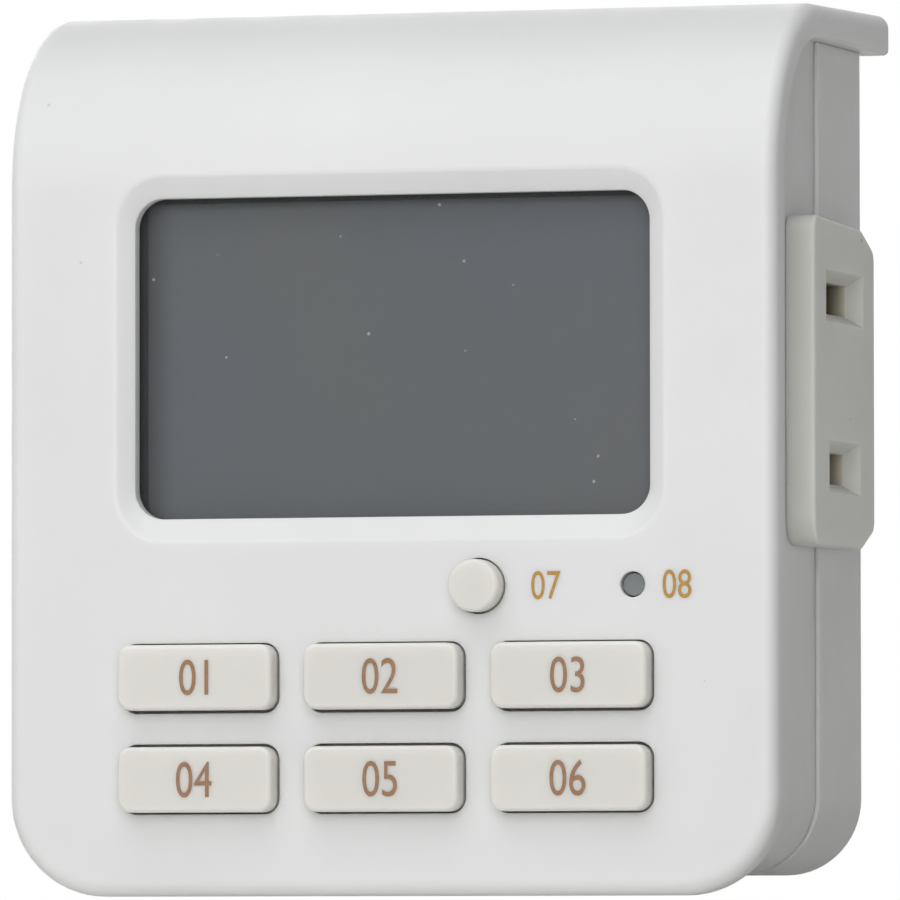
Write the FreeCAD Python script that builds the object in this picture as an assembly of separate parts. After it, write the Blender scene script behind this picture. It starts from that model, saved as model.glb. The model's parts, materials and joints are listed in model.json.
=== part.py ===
import FreeCAD, Part
import math
import os
from FreeCAD import Vector

# Plug-in digital timer for a two-blade outlet, in millimetres.
# +Z is up, the display faces -Y, and the blades point along +Y.
# The origin is midway between the two blades, on the plane that seats on the wall outlet.
# "Height" is measured up from the cover's bottom edge and "depth" back from its flat face.

# Standard two-blade polarised plug and outlet
blade_spacing = 12.7
blade_thickness = 1.5
line_blade_width = 6.35
neutral_blade_width = 7.94
blade_reach = 17.0
blade_tip_chamfer = 0.5
blade_hole_radius = 1.98
blade_hole_reach = 11.7

# Case
case_width = 59.6
case_height = 66.5
housing_depth = 29.0
seat_gap = 3.9
plug_height = 43.5
corner_radius = 7.4
top_arc_radius = 13.5
hood_rise_deg = 1.5
hood_relief = 0.1
plate_thickness = 2.9
hood_thickness = 2.6
edge_round = 1.1
hood_end_round = 0.5
lip_round = 0.4
wall = 2.0
boss_tip_round = 0.5
band_inset = 1.6
parting_depth = 16.8
shell_step = 0.3
shell_round = 0.3
fit_gap = 0.05
tongue_length = 1.5
tongue_thickness = 1.0
tongue_gap = 0.1

# Plug boss on the rear shell
boss_half_width = 14.0
boss_half_height = 9.0
boss_round = 4.0

# Display
window_margin = 9.8
window_top_gap = 0.94
window_rise = 5.21
window_round = 2.2
window_wall = 1.05
recess_depth = 0.8
recess_side_bevel = 1.3
recess_top_bevel = 1.72
recess_rim_round = 0.7
lens_overlap = 0.8
lens_thickness = 1.0
lens_rib_width = 0.8
lcd_overlap = 1.4
lcd_thickness = 2.6
lcd_wall = 0.7
zebra_height = 1.8
zebra_inset = 1.2

# Keys
key_margin = 9.33
key_bridge = 2.47
key_height = 4.87
key_low = 6.225
row_bridge = 2.72
keys_left = 0.15
key_round = 1.0
key_edge_round = 0.3
key_gap = 0.18
key_row_shift = 0.045
column_names = ("left", "middle", "right")
row_names = ("lower", "upper")
key_proud = 1.6
key_flange = 0.4
key_flange_gap = 0.1
key_flange_thickness = 0.9
key_shell = 1.0
key_stem_radius = 1.2
key_travel = 0.8
small_row_rise = 4.205
round_key_radius = 1.96
round_key_gap = 0.12
reset_radius = 0.83
reset_gap = 0.13
reset_sunk = 0.45
reset_inset = 1.13
reset_to_round_key = 11.86
small_stem_radius = 0.9
small_flange = 0.6

# Control board, keypad and what is on the board
board_depth = 7.0
board_thickness = 1.2
board_side_gap = 0.3
board_low_gap = 1.0
board_top_gap = 0.6
board_notch_gap = 0.2
mat_thickness = 0.7
mat_side_gap = 0.3
mat_low_gap = 0.4
mat_top_gap = 0.7
dome_cap = 0.85
dome_wall = 0.3
dome_spare = 0.15
dome_skirt = 0.4
dome_radius = 2.1
small_dome_radius = 1.4
pill_radius = 0.8
board_post_radius = 1.5
board_post_gap = 0.2
board_post_low = 13.5
board_post_drop = 4.4
board_screw_length = 4.5
chip_place = (0.0, 33.0)
chip_size = 9.0
chip_thickness = 1.4
chip_stand = 0.1
chip_bevel = 0.2
chip_legs = 8
chip_leg_pitch = 1.1
chip_leg_width = 0.4
chip_leg_reach = 1.0
crystal_place = (9.5, 30.7)
crystal_radius = 1.0
crystal_length = 6.0
crystal_lead_gap = 0.45
crystal_lead_radius = 0.2
crystal_lead_reach = 1.4
crystal_foot_radius = 0.26
battery_x = -14.0
battery_drop = 11.4
battery_radius = 5.8
battery_thickness = 5.4
battery_round = 0.8
tab_thickness = 0.3
tab_width = 3.0
tab_under_start = -2.9
tab_under_end = 8.1
tab_over_end = 2.3

# Power board and what is on it
power_stand = 1.0
power_thickness = 1.6
power_side_gap = 1.8
power_low = 10.4
power_high = 35.4
power_post_radius = 2.0
power_post_insets = (1.8, 2.9)
power_post_heights = (31.6, 18.8)
relay_height = 15.5
relay_centre = 19.2
relay_edge_gap = 0.2
relay_gap = 1.0
relay_front_gap = 1.2
film_depth = 10.0
film_height = 6.2
film_centre = 31.6
film_screw_gap = 0.35
film_leg_gap = 0.6
can_sizes = ((2.5, 8.0), (3.5, 11.5))
can_heights = (13.6, 16.0)
can_gap = 0.85
varistor_radius = 4.2
varistor_thickness = 3.4
varistor_round = 1.0
varistor_height = 15.2
varistor_gap = 1.2
diode_radius = 1.25
diode_length = 5.0
diode_heights = (21.6, 24.3, 27.0, 29.7)
diode_gap = 0.3
resistor_radius = 1.0
resistor_length = 6.3
resistor_heights = (21.1, 23.4, 25.7)
resistor_gap = 0.2
lead_radius = 0.35
lead_foot_radius = 0.42
lead_stand = 0.6
transistor_low_gap = 0.4
transistor_radius = 2.3
transistor_length = 4.6
transistor_stand = 1.2
transistor_gap = 0.35

# Ribbon of four wires between the boards
wire_radius = 0.55
wire_count = 4
wire_pitch = 1.5
cable_heights = (18.0, 14.0)
cable_bend_share = 0.45
cable_round_share = 0.45
header_height = 3.2
header_size = (7.0, 3.2)
header_edge_gap = 0.9

# Blade holder inside the boss
holder_gap = 0.15
holder_reach = 4.0
shoulder_extra = 1.0
leg_width = 2.4
leg_edge_gap = 1.0
pin_reach = 0.6

# Side outlet
outlet_depth = 17.15
outlet_drop = 28.25
outlet_width = 17.1
outlet_height = 24.5
outlet_proud = 0.65
outlet_top_round = 1.1
outlet_low_round = 2.0
outlet_top_fall = 0.5
outlet_slant = (3.6, 1.5)
outlet_slant_round = 1.2
outlet_edge_round = 0.25
neck_inset = 1.0
neck_round = 2.6
neck_gap = 0.05
flange_extra = 0.8
flange_thickness = 1.0
slot_height = 2.35
neutral_slot = 8.3
line_slot = 6.6
funnel_side = 1.15
funnel_end = 0.8
funnel_depth = 1.1
contact_width = 6.0
contact_thickness = 0.5
contact_grip = 0.8
contact_back = 0.6
contact_setback = 0.5
carrier_holder_gap = 1.45
carrier_board_gap = 0.1
carrier_inset = 0.4
strap_thickness = 0.6
strap_width = 4.0
strap_reach = 3.0
strap_pin_width = 2.0
strap_pin_drop = 3.5
pocket_gap = 0.35

# Screws
case_screw_inset = 2.6
case_screw_rise = 6.1
case_screw_drop = 9.0
case_boss_radius = 2.5
case_well_radius = 2.75
case_well_wall = 0.85
case_well_floor = 3.2
screw_head_radius = 2.4
screw_head_height = 1.7
screw_radius = 1.25
screw_length = 9.0
small_head_radius = 1.4
small_head_height = 1.2
small_screw_radius = 0.85
head_round = 0.45
cross_width = 0.5
cross_depth = 0.6

# How far a block that cuts runs past what it cuts, and how near a rim its edges are looked for
over = 1.0
rim_search = 0.1
near = 1e-4

# Planes and half widths of the case
front_y = -(housing_depth + seat_gap)
rear_y = -seat_gap
base_z = -plug_height
hood_end_y = -hood_relief
half_width = case_width / 2
band_half = half_width - band_inset
shell_half = band_half + shell_step
parting_y = front_y + parting_depth
band_low = base_z + band_inset
inner_low = band_low + wall
far_up = 2 * case_height

# Layout of the face, from the bottom edge up
column_count = len(column_names)
key_width = (case_width - 2 * key_margin - (column_count - 1) * key_bridge) / column_count
key_pitch = key_width + key_bridge
row_pitch = key_height + row_bridge
keys_top = key_low + row_pitch + key_height
small_row = keys_top + small_row_rise
window_width = case_width - 2 * window_margin
window_low = small_row + window_rise
window_height = case_height - top_arc_radius - window_top_gap - window_low
window_centre = window_low + window_height / 2
reset_place = (window_width / 2 - reset_inset, small_row)
round_key_place = (reset_place[0] - reset_to_round_key, small_row)

# Control board, held between the case screws' bosses
case_screw_x = band_half - wall - case_screw_inset
case_screw_heights = (case_screw_rise, case_height - case_screw_drop)
board_back = board_depth + board_thickness
board_low = band_inset + wall + board_low_gap
board_high = case_screw_heights[1] - case_boss_radius - board_top_gap
board_post_x = window_width / 2 + lcd_overlap + lcd_wall + board_post_gap + board_post_radius
board_post_heights = (board_post_low, board_high - board_post_drop)
dome_height = key_travel + dome_spare + dome_wall + dome_cap
battery_place = (battery_x, board_high - battery_drop)

# Power board, blades and contacts, from the rear wall and the side wall inwards
power_depth = housing_depth - wall - power_stand - power_thickness
power_half_width = band_half - wall - power_side_gap
power_post_places = ((power_post_insets[0] - power_half_width, power_post_heights[0]),
                     (power_half_width - power_post_insets[1], power_post_heights[1]))
holder_half_width = boss_half_width - wall - holder_gap
holder_front = power_depth - holder_reach
line_root = power_depth - leg_width
neutral_root = holder_front - 2 * holder_gap
carrier_front_x = band_half - wall - flange_thickness
carrier_back_x = holder_half_width + carrier_holder_gap
strap_back_x = carrier_back_x - fit_gap - contact_back
cable_x = power_half_width - header_edge_gap - header_size[0] / 2
resistors_top = resistor_heights[-1] + resistor_radius
transistor_height = resistors_top + transistor_low_gap + transistor_radius
outlet_centre = case_height - outlet_drop


def back(depth):
    return front_y + depth


def up(height):
    return base_z + height


def span(centre, size):
    return (centre - size / 2, centre + size / 2)


def box(x, y, z):
    return Part.makeBox(x[1] - x[0], y[1] - y[0], z[1] - z[0], Vector(x[0], y[0], z[0]))


def rod(point, direction, radius, length):
    return Part.makeCylinder(radius, length, Vector(*point), Vector(*direction))


def rod_back(place, depths, radius):
    """Round bar along Y at an (x, height) place between two depths."""
    point = (place[0], back(depths[0]), up(place[1]))
    return rod(point, (0, 1, 0), radius, depths[1] - depths[0])


def join(solids):
    return solids[0].multiFuse(solids[1:]).removeSplitter()


def straight_edges(solid, axis):
    """Edges of a solid that run along one of its axes."""
    unit = Vector(*axis)
    found = []
    for edge in solid.Edges:
        run = edge.Vertexes[-1].Point - edge.Vertexes[0].Point
        if run.Length > near and run.cross(unit).Length < near:
            found.append(edge)
    return found


def rounded_box(x, y, z, axis, radius):
    """Box with its four edges along an axis rounded."""
    solid = box(x, y, z)
    return solid.makeFillet(radius, straight_edges(solid, axis))


def face_rim(solid, axis, place):
    """Edges that lie wholly in the plane at a place along an axis."""
    unit = Vector(*axis)
    return [e for e in solid.Edges
            if all(abs(v.Point.dot(unit) - place) < near for v in e.Vertexes)
            and abs(e.CenterOfMass.dot(unit) - place) < near]


def tapered(x, z, grow_x, grow_z, radius, y_small, y_large):
    """Rounded pocket along Y that widens evenly to its large end."""
    def wire(share, y):
        extra_x = share * grow_x
        extra_z = share * grow_z
        solid = rounded_box((x[0] - extra_x, x[1] + extra_x), (y, y + over),
                            (z[0] - extra_z, z[1] + extra_z), (0, 1, 0),
                            radius + (extra_x + extra_z) / 2)
        return next(f for f in solid.Faces if abs(f.CenterOfMass.y - y) < near).OuterWire
    return Part.makeLoft([wire(0, y_small), wire(1, y_large)], True, True)


def side_skin(setback, drop, radius, y_end, z_low, slope=0.0):
    """Edges of the case's side view: the front edge, the top arc and the hood line."""
    y_front = front_y + setback
    y_centre = y_front + radius

    def line_z(y):
        rise = math.tan(slope) * (y - front_y - top_arc_radius)
        return base_z + case_height + rise - drop / math.cos(slope)

    centre = Vector(0, y_centre, line_z(y_centre) - radius / math.cos(slope))

    def on_arc(turn):
        return centre + Vector(0, -math.cos(turn), math.sin(turn)) * radius

    full = math.pi / 2 + slope
    return [
        Part.LineSegment(Vector(0, y_front, z_low), on_arc(0)).toShape(),
        Part.Arc(on_arc(0), on_arc(full / 2), on_arc(full)).toShape(),
        Part.LineSegment(on_arc(full), Vector(0, y_end, line_z(y_end))).toShape(),
    ]


def side_prism(skin, half):
    """Solid across the case below and behind a side-view line."""
    start = skin[0].Vertexes[0].Point
    end = skin[-1].Vertexes[-1].Point
    corner = Vector(0, end.y, start.z)
    closing = [Part.LineSegment(end, corner).toShape(), Part.LineSegment(corner, start).toShape()]
    face = Part.Face(Part.Wire(skin + closing))
    face.translate(Vector(-half, 0, 0))
    return face.extrude(Vector(2 * half, 0, 0))


def outline_prism(half, z_low, radius, y):
    """Block along Y with rounded bottom corners and an open-ended top."""
    solid = box((-half, half), y, (z_low, up(far_up)))
    corners = [e for e in straight_edges(solid, (0, 1, 0)) if e.CenterOfMass.z < up(far_up / 2)]
    return solid.makeFillet(radius, corners)


def bent_plate():
    """Cover plate: flat face, top arc and hood, with all its outer edges rounded."""
    outer_skin = side_skin(0, 0, top_arc_radius, hood_end_y, base_z, math.radians(hood_rise_deg))
    inner_radius = top_arc_radius - plate_thickness
    inner_skin = side_skin(plate_thickness, hood_thickness, inner_radius, over, base_z - over)
    plate = side_prism(outer_skin, half_width).cut(side_prism(inner_skin, half_width + over))
    plate = plate.common(outline_prism(half_width, base_z, corner_radius,
                                       (front_y - over, over)))

    def on_side(edge, skin):
        middle = edge.valueAt((edge.FirstParameter + edge.LastParameter) / 2)
        flat = Part.Vertex(Vector(0, middle.y, middle.z))
        at_side = abs(middle.x) > half_width / 2 or middle.z < base_z + near
        inside = middle.y < hood_end_y - near
        return at_side and inside and flat.distToShape(Part.Wire(skin))[0] < near

    plate = plate.makeFillet(edge_round, [e for e in plate.Edges if on_side(e, outer_skin)])
    plate = plate.makeFillet(lip_round, [e for e in plate.Edges if on_side(e, inner_skin)])
    return plate.makeFillet(hood_end_round, face_rim(plate, (0, 1, 0), hood_end_y))


def mid_band():
    """Wall behind the lip, up to the parting plane."""
    outer = outline_prism(band_half, band_low, corner_radius - band_inset,
                          (back(edge_round), parting_y))
    skin = edge_round + fit_gap
    return outer.common(side_prism(
        side_skin(skin, skin, top_arc_radius - skin, parting_y + over, base_z), half_width))


def cover_cavity():
    """Space inside the cover and the mid band."""
    inner_radius = top_arc_radius - plate_thickness
    hollow = outline_prism(band_half - wall, inner_low, corner_radius - band_inset - wall,
                           (back(wall), parting_y + over))
    return hollow.common(side_prism(
        side_skin(wall, hood_thickness, inner_radius, parting_y + over, base_z), half_width))


def key_places():
    """Names and (x, height) centres of the rectangular keys."""
    places = {}
    for row, row_name in enumerate(row_names):
        height = key_low + key_height / 2 + row * row_pitch
        for column, column_name in enumerate(column_names):
            x = (column - (column_count - 1) / 2) * key_pitch - keys_left
            places[f"{row_name}_{column_name}"] = (x, height)
    return places


def case_screw_places():
    return [(side * case_screw_x, height) for side in (-1, 1) for height in case_screw_heights]


def board_post_places():
    return [(side * board_post_x, height) for side in (-1, 1) for height in board_post_heights]


def front_openings():
    """Cuts through the cover's face: display recess, keys, round key and reset hole."""
    through = (front_y - over, back(wall + over))
    cuts = [window_block(0, through), recess()]
    cuts.append(window_block(lens_overlap + fit_gap, (back(lens_front()), back(wall + over))))
    for place in opening_places():
        cuts.append(key_block(place, key_gap, through))
    cuts.append(rod_back(round_key_place, (-over, wall + over), round_key_radius + round_key_gap))
    cuts.append(rod_back(reset_place, (-over, wall + over), reset_radius + reset_gap))
    return cuts


def window_block(extra, y):
    """Block in the outline of the display window, grown by a margin."""
    return rounded_box(span(0, window_width + 2 * extra), y,
                       span(up(window_centre), window_height + 2 * extra), (0, 1, 0),
                       window_round + extra)


def recess():
    """Slanted walls of the display recess, down to the straight walls round the window."""
    return tapered(span(0, window_width), span(up(window_centre), window_height),
                   recess_side_bevel, recess_top_bevel, window_round, back(recess_depth), front_y)


def lens_rib():
    """Ring behind the cover's face that holds the display's lens."""
    return window_block(lens_overlap + fit_gap + lens_rib_width,
                        (back(wall), back(lens_front() + lens_thickness)))


def opening_places():
    """Centres of the key openings: each row of keys stands a little outward in them."""
    middle = key_low + (row_pitch + key_height) / 2
    return [(x, height + math.copysign(key_row_shift, middle - height))
            for x, height in key_places().values()]


def key_block(place, extra, y):
    """Block in the outline of a rectangular key, grown by a margin."""
    return rounded_box(span(place[0], key_width + 2 * extra), y,
                       span(up(place[1]), key_height + 2 * extra), (0, 1, 0),
                       key_round + extra)


def outlet_block(x, extra, radius):
    """Block along X in the outline of the outlet's neck, grown by a margin."""
    y = span(back(outlet_depth), outlet_width - 2 * neck_inset + 2 * extra)
    z = span(up(outlet_centre), outlet_height - 2 * neck_inset + 2 * extra)
    return rounded_box(x, y, z, (1, 0, 0), radius)


def outlet_cut():
    """Cuts for the outlet's neck through the side walls and for its flange inside them."""
    inner_x = band_half - wall
    neck = outlet_block((inner_x - over, half_width + over), neck_gap,
                        neck_round + neck_gap)
    margin = flange_extra + neck_gap
    flange = outlet_block((carrier_front_x - over, inner_x), margin,
                          neck_round + margin)
    return [neck, flange]


def front_cover():
    band = mid_band()
    cover = bent_plate().fuse(band).cut(cover_cavity())
    bosses = [rod_back(p, (0, parting_depth), case_boss_radius).common(band)
              for p in case_screw_places()]
    posts = [rod_back(p, (0, board_depth), board_post_radius).common(band)
             for p in board_post_places()]
    key_rooms = [key_block(p, key_flange + key_flange_gap, (back(wall), back(stem_end())))
                 for p in opening_places()]
    cover = join([cover, lens_rib()] + [post.cut(key_rooms) for post in bosses + posts])
    pilots = [rod_back(p, (parting_depth - screw_length, parting_depth + over),
                       screw_radius + fit_gap) for p in case_screw_places()]
    pilots += [rod_back(p, (board_depth - board_screw_length, board_depth + over),
                        small_screw_radius + fit_gap) for p in board_post_places()]
    cover = cover.cut(pilots + front_openings() + outlet_cut())
    return cover.makeFillet(recess_rim_round, [e for e in cover.Edges if on_recess_rim(e)])


def on_recess_rim(edge):
    """True for the outer edges of the display recess, also where the top arc begins."""
    middle = edge.CenterOfMass
    in_x = abs(middle.x) < window_width / 2 + recess_side_bevel + rim_search
    in_z = abs(middle.z - up(window_centre)) < window_height / 2 + recess_top_bevel + rim_search
    return in_x and in_z and edge.BoundBox.YMax < front_y + rim_search


def shell_body():
    """Outer and inner blocks of the rear shell below the hood."""
    radius = corner_radius - band_inset
    setback = plate_thickness + fit_gap
    drop = hood_thickness + fit_gap
    small_arc = top_arc_radius - setback

    def under_hood(y_end, extra_drop):
        return side_prism(side_skin(setback, drop + extra_drop, small_arc, y_end, base_z),
                          half_width)

    outer = outline_prism(shell_half, band_low, radius, (parting_y, rear_y))
    outer = outer.common(under_hood(rear_y, 0))
    rear_rim = [e for e in face_rim(outer, (0, 1, 0), rear_y)
                if e.CenterOfMass.z < up(case_height - hood_thickness - over)]
    outer = outer.makeFillet(shell_round, rear_rim)
    inner = outline_prism(shell_half - wall, inner_low, radius - wall,
                          (parting_y - over, rear_y - wall))
    return outer, inner.common(under_hood(0, wall))


def shell_tongue():
    """Ring that laps inside the mid band when the case is closed."""
    radius = corner_radius - band_inset - wall
    outer_half = band_half - wall - tongue_gap
    y = (parting_y - tongue_length, parting_y + wall)
    drop = hood_thickness + tongue_gap
    outer = outline_prism(outer_half, inner_low + tongue_gap, radius - tongue_gap, y)
    inner = outline_prism(outer_half - tongue_thickness,
                          inner_low + tongue_gap + tongue_thickness,
                          radius - tongue_gap - tongue_thickness, (y[0] - over, y[1] + over))
    arc = top_arc_radius - plate_thickness
    lid = side_prism(side_skin(wall, drop, arc, 0, base_z), half_width)
    lid_inner = side_prism(side_skin(wall, drop + tongue_thickness, arc, 0, base_z),
                           half_width)
    ring = outer.common(lid).cut(inner.common(lid_inner))
    clear = [rod_back(p, (parting_depth - tongue_length - over, parting_depth),
                      case_boss_radius + tongue_gap) for p in case_screw_places()]
    neck_high = up(outlet_centre) + outlet_height / 2 + flange_extra
    neck_low = up(outlet_centre) - outlet_height / 2 - flange_extra
    clear.append(box((half_width / 2, half_width), (y[0] - over, parting_y),
                     (neck_low, neck_high)))
    return ring.cut(clear)


def plug_boss():
    """Raised pad that seats on the wall outlet, and the pocket behind it."""
    pad = rounded_box((-boss_half_width, boss_half_width), (rear_y - wall, 0),
                      (-boss_half_height, boss_half_height), (0, 1, 0), boss_round)
    pad = pad.makeFillet(boss_tip_round, face_rim(pad, (0, 1, 0), 0))
    inner_x = boss_half_width - wall
    inner_z = boss_half_height - wall
    pocket = rounded_box((-inner_x, inner_x), (rear_y - wall - over, -wall),
                         (-inner_z, inner_z), (0, 1, 0), boss_round - wall)
    return pad, pocket


def blade_slots(gap):
    """Clearance for both blades through the boss."""
    slots = []
    for side, width in ((1, line_blade_width), (-1, neutral_blade_width)):
        x = span(side * blade_spacing / 2, blade_thickness + 2 * gap)
        slots.append(box(x, (-wall - over, over), span(0, width + 2 * gap)))
    return slots


def rear_shell():
    outer, inner = shell_body()
    pad, pocket = plug_boss()
    post_radius = case_well_radius + case_well_wall
    posts = [rod_back(p, (parting_depth, housing_depth - wall / 2), post_radius)
             for p in case_screw_places()]
    trim = outline_prism(shell_half - wall / 2, band_low + wall / 2,
                         corner_radius - band_inset - wall / 2, (parting_y, rear_y))
    posts = [p.common(trim) for p in posts]
    stand_low = power_depth + power_thickness
    stands = [rod_back(p, (stand_low, housing_depth - wall / 2), power_post_radius)
              for p in power_post_places]
    shell = join([outer.cut(inner), pad, shell_tongue()] + posts + stands)
    well_floor = parting_depth + case_well_floor
    holes = [rod_back(p, (well_floor, housing_depth + over), case_well_radius)
             for p in case_screw_places()]
    holes += [rod_back(p, (parting_depth - over, well_floor + over), screw_radius + 2 * fit_gap)
              for p in case_screw_places()]
    pilot = (stand_low - over, stand_low + wall / 2)
    holes += [rod_back(p, pilot, small_screw_radius + fit_gap) for p in power_post_places]
    return shell.cut(holes + blade_slots(fit_gap) + [pocket] + outlet_cut())


def lens_front():
    return recess_depth + window_wall


def display_window():
    return window_block(lens_overlap, (back(lens_front()), back(lens_front() + lens_thickness)))


def lcd_spans(extra):
    x = span(0, window_width + 2 * (lcd_overlap + extra))
    z = span(up(window_centre), window_height + 2 * (lcd_overlap + extra))
    return x, z


def lcd_front():
    return lens_front() + lens_thickness + fit_gap


def lcd_panel():
    x, z = lcd_spans(0)
    return box(x, (back(lcd_front()), back(lcd_front() + lcd_thickness)), z)


def lcd_frame():
    """Ring that holds the panel and stands on the control board."""
    x, z = lcd_spans(lcd_wall)
    outer = rounded_box(x, (back(lcd_front()), back(board_depth)), z, (0, 1, 0), lcd_wall)
    x, z = lcd_spans(fit_gap)
    return outer.cut(box(x, (front_y, back(board_depth + over)), z))


def zebra_strips():
    """Two elastomer strips that join the panel's edges to the board."""
    x, z = lcd_spans(-zebra_inset)
    y = (back(lcd_front() + lcd_thickness), back(board_depth))
    low = box(x, y, (z[0], z[0] + zebra_height))
    high = box(x, y, (z[1] - zebra_height, z[1]))
    return Part.makeCompound([low, high])


def flange_depth():
    return wall + fit_gap


def stem_end():
    return board_depth - mat_thickness - dome_height - fit_gap


def rect_key(place):
    """Hollow key cap with a flange behind the cover and a stem to its dome."""
    cap = key_block(place, 0, (back(-key_proud), back(flange_depth() + fit_gap)))
    cap = cap.makeFillet(key_edge_round, face_rim(cap, (0, 1, 0), back(-key_proud)))
    flange = key_block(place, key_flange,
                       (back(flange_depth()), back(flange_depth() + key_flange_thickness)))
    pocket = rounded_box(span(place[0], key_width - 2 * key_shell),
                         (back(key_shell - key_proud), back(stem_end())),
                         span(up(place[1]), key_height - 2 * key_shell), (0, 1, 0), key_shell / 2)
    stem = rod_back(place, (key_shell / 2 - key_proud, stem_end()), key_stem_radius)
    return cap.fuse(flange).cut(pocket).fuse(stem).removeSplitter()


def round_key():
    cap = rod_back(round_key_place, (-key_proud, flange_depth()), round_key_radius)
    cap = cap.makeFillet(key_edge_round, face_rim(cap, (0, 1, 0), back(-key_proud)))
    flange = rod_back(round_key_place, (flange_depth(), flange_depth() + key_flange_thickness),
                      round_key_radius + small_flange)
    stem = rod_back(round_key_place, (flange_depth(), stem_end()), small_stem_radius)
    return join([cap, flange, stem])


def reset_plunger():
    pin = rod_back(reset_place, (reset_sunk, flange_depth()), reset_radius)
    flange = rod_back(reset_place, (flange_depth(), flange_depth() + key_flange_thickness),
                      reset_radius + small_flange)
    stem = rod_back(reset_place, (flange_depth(), stem_end()), small_stem_radius)
    return join([pin, flange, stem])


def dome(place, radius, top_radius):
    """Silicone dome on the keypad mat, hollow over its contact pill."""
    foot = Vector(place[0], back(board_depth - mat_thickness), up(place[1]))
    up_front = Vector(0, -1, 0)
    rise = dome_height - dome_cap
    skirt = Part.makeCone(radius, top_radius, rise, foot, up_front)
    top = Part.makeCylinder(top_radius, dome_cap, foot + up_front * rise, up_front)
    hollow = Part.makeCone(radius - dome_skirt, top_radius - dome_skirt, rise - dome_wall,
                           foot, up_front)
    return skirt.fuse(top).cut(hollow).removeSplitter()


def dome_places():
    """Dome name to its place, foot radius and top radius."""
    places = {f"dome_{name}": (place, dome_radius, key_stem_radius)
              for name, place in key_places().items()}
    places["dome_round"] = (round_key_place, small_dome_radius, small_stem_radius)
    places["dome_reset"] = (reset_place, small_dome_radius, small_stem_radius)
    return places


def keypad_mat():
    y = (back(board_depth - mat_thickness), back(board_depth))
    half = case_screw_x - case_boss_radius - mat_side_gap
    z_low = up(board_low + mat_low_gap)
    z_high = up(window_low - lcd_overlap - lcd_wall - mat_top_gap)
    mat = rounded_box((-half, half), y, (z_low, z_high), (0, 1, 0), key_round)
    holes = [rod_back(place, (board_depth - mat_thickness - over, board_depth + over), pill_radius)
             for place, _, _ in dome_places().values()]
    return mat.cut(holes)


def control_board():
    half = band_half - wall - board_side_gap
    y = (back(board_depth), back(board_back))
    board = box((-half, half), y, (up(board_low), up(board_high)))
    notch_x = case_screw_x - case_boss_radius - board_notch_gap
    notch_top = case_screw_rise + case_boss_radius + board_notch_gap
    cuts = outlet_cut()
    for side in (-1, 1):
        x = sorted((side * notch_x, side * (half + over)))
        cuts.append(box(x, y, (up(board_low - over), up(notch_top))))
    cuts += [rod_back(p, (board_depth - over, board_back + over),
                      small_screw_radius + 2 * fit_gap) for p in board_post_places()]
    return board.cut(cuts)


def controller_chip():
    """Chip body with legs on all four sides, soldered to the board's back."""
    x0 = chip_place[0]
    z0 = up(chip_place[1])
    y = (back(board_back + chip_stand), back(board_back + chip_stand + chip_thickness))
    body = box(span(x0, chip_size), y, span(z0, chip_size))
    body = body.makeChamfer(chip_bevel, face_rim(body, (0, 1, 0), y[1]))
    reach = chip_size + 2 * chip_leg_reach
    leg_y = (back(board_back), back(board_back + chip_thickness / 2))
    legs = []
    for i in range(chip_legs):
        shift = (i - (chip_legs - 1) / 2) * chip_leg_pitch
        legs.append(box(span(x0 + shift, chip_leg_width), leg_y, span(z0, reach)))
        legs.append(box(span(x0, reach), leg_y, span(z0 + shift, chip_leg_width)))
    under = chip_size - 2 * chip_leg_width
    core = box(span(x0, under), (leg_y[0] - over, y[0]), span(z0, under))
    return join([body] + legs).cut(core)


def crystal():
    """Clock crystal that lies on the board, its two leads bent down to it."""
    x0, height = crystal_place
    depth = board_back + crystal_radius
    solids = [rod((x0, back(depth), up(height)), (0, 0, 1), crystal_radius, crystal_length)]
    foot_height = height - crystal_lead_reach
    for x in (x0 - crystal_lead_gap, x0 + crystal_lead_gap):
        solids.append(rod((x, back(depth), up(foot_height)), (0, 0, 1), crystal_lead_radius,
                          crystal_lead_reach + over))
        solids.append(rod_back((x, foot_height), (board_back, depth + crystal_foot_radius),
                               crystal_foot_radius))
    return join(solids)


def battery_front():
    return board_back + tab_thickness


def backup_battery():
    depths = (battery_front(), battery_front() + battery_thickness)
    cell = rod_back(battery_place, depths, battery_radius)
    return cell.makeFillet(battery_round, face_rim(cell, (0, 1, 0), back(depths[1])))


def battery_tabs():
    """Two welded strips: one under the cell, one over it with a leg down to the board."""
    x0 = battery_place[0]
    z = span(up(battery_place[1]), tab_width)
    under = box((x0 + tab_under_start, x0 + tab_under_end),
                (back(board_back), back(battery_front())), z)
    top = battery_front() + battery_thickness
    leg_x = x0 - battery_radius - 2 * tab_thickness
    strip = box((leg_x, x0 + tab_over_end), (back(top), back(top + tab_thickness)), z)
    leg = box((leg_x - tab_thickness, leg_x), (back(board_back), back(top + tab_thickness)), z)
    return Part.makeCompound([under, join([strip, leg])])


def cable_x_places():
    return [cable_x + (i - (wire_count - 1) / 2) * wire_pitch for i in range(wire_count)]


def cable_headers():
    """One socket strip on each board."""
    depths = ((board_back, board_back + header_height),
              (power_depth - header_height, power_depth))
    return Part.makeCompound([
        box(span(cable_x, header_size[0]), (back(d[0]), back(d[1])), span(up(h), header_size[1]))
        for d, h in zip(depths, cable_heights)])


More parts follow.
